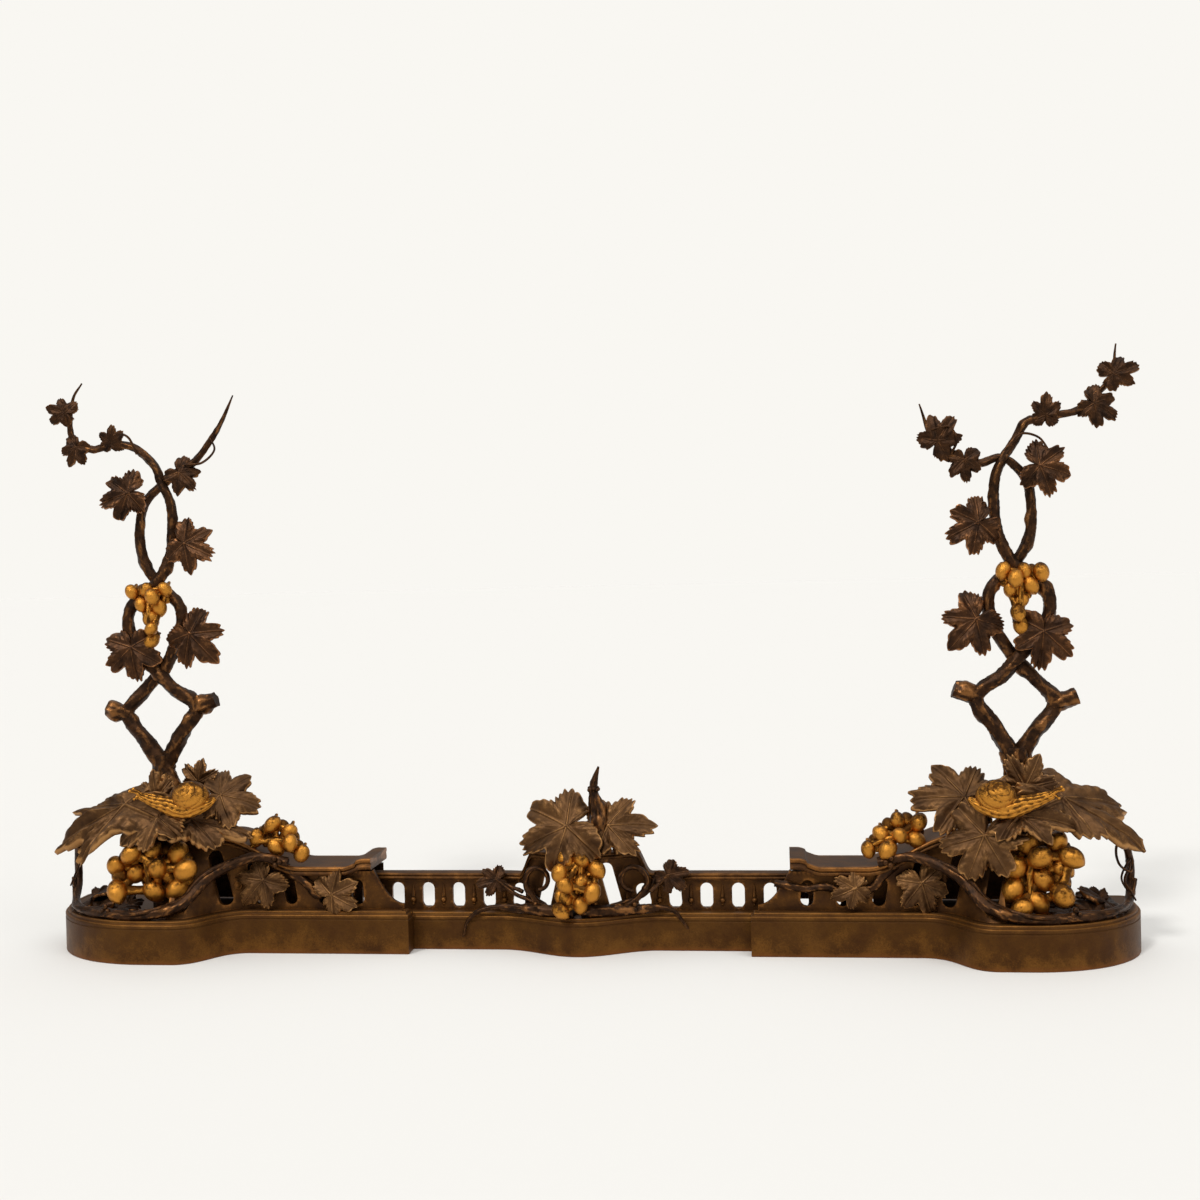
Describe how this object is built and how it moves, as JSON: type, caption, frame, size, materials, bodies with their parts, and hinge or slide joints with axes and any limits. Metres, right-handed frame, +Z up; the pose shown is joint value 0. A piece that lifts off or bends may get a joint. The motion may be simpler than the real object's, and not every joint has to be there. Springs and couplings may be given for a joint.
{
  "type": "fire fender",
  "caption": "Extending fire fender with a pierced centre bar, sliding rounded ends, and vine trellises with leaves, grapes and snails.",
  "frame": {"origin": "on the hearth, under the middle of the fender's width and depth", "axes": "+X to the right as seen from the room, +Y towards the fire, +Z up"},
  "size_m": [1.2239, 0.155, 0.6496],
  "materials": {
    "rust_bronze": "cast, patinated brown with ochre and rust patches",
    "dull_bronze": "cast, dull grey-brown patina",
    "dark_bronze": "cast, dark brown patina with coppery wear",
    "gilt_bronze": "cast, worn gilding",
    "wrought_iron": "forged, dark and rough"
  },
  "bodies": {
    "centre_bar": {"centre_plinth": "rust_bronze", "centre_rail": "dull_bronze", "centre_frieze": "dull_bronze", "centre_bud_stem": "dark_bronze", "centre_leaf_left": "dull_bronze", "centre_leaf_right": "dull_bronze", "centre_grapes": "gilt_bronze", "centre_vine_left": "dark_bronze", "centre_vine_right": "dark_bronze", "slide_bar_left": "wrought_iron", "slide_bar_right": "wrought_iron"},
    "left_end": {"left_plinth": "rust_bronze", "left_rail": "dull_bronze", "left_frieze": "dull_bronze", "left_pedestal": "dull_bronze", "left_tie_bolt": "wrought_iron", "left_guide_strap": "wrought_iron", "left_trellis": "dark_bronze", "left_trellis_leaf_low_inner": "dark_bronze", "left_trellis_leaf_low_outer": "dark_bronze", "left_trellis_leaf_mid_inner": "dark_bronze", "left_trellis_leaf_high_outer": "dark_bronze", "left_trellis_grapes": "gilt_bronze", "left_snail": "gilt_bronze", "left_leaf_snail": "dull_bronze", "left_leaf_front": "dull_bronze", "left_leaf_inner": "dull_bronze", "left_leaf_outer": "dull_bronze", "left_leaf_back": "dull_bronze", "left_vine_rim": "dark_bronze", "left_grapes_large": "gilt_bronze", "left_side_vine": "dark_bronze", "left_side_leaf_large": "dull_bronze", "left_side_leaf_small": "dull_bronze", "left_grapes_small": "gilt_bronze"},
    "right_end": {"right_plinth": "rust_bronze", "right_rail": "dull_bronze", "right_frieze": "dull_bronze", "right_pedestal": "dull_bronze", "right_tie_bolt": "wrought_iron", "right_guide_strap": "wrought_iron", "right_trellis": "dark_bronze", "right_trellis_leaf_low_inner": "dark_bronze", "right_trellis_leaf_low_outer": "dark_bronze", "right_trellis_leaf_mid_inner": "dark_bronze", "right_trellis_leaf_high_outer": "dark_bronze", "right_trellis_grapes": "gilt_bronze", "right_snail": "gilt_bronze", "right_leaf_snail": "dull_bronze", "right_leaf_front": "dull_bronze", "right_leaf_inner": "dull_bronze", "right_leaf_outer": "dull_bronze", "right_leaf_back": "dull_bronze", "right_vine_rim": "dark_bronze", "right_grapes_large": "gilt_bronze", "right_side_vine": "dark_bronze", "right_side_leaf_large": "dull_bronze", "right_side_leaf_small": "dull_bronze", "right_grapes_small": "gilt_bronze"}
  },
  "joints": [
    {"name": "left_slide", "type": "slide", "parent": "centre_bar", "child": "left_end", "axis": [-1, 0, 0], "range_m": [-0.04, 0.11]},
    {"name": "right_slide", "type": "slide", "parent": "centre_bar", "child": "right_end", "axis": [1, 0, 0], "range_m": [-0.04, 0.11]}
  ]
}
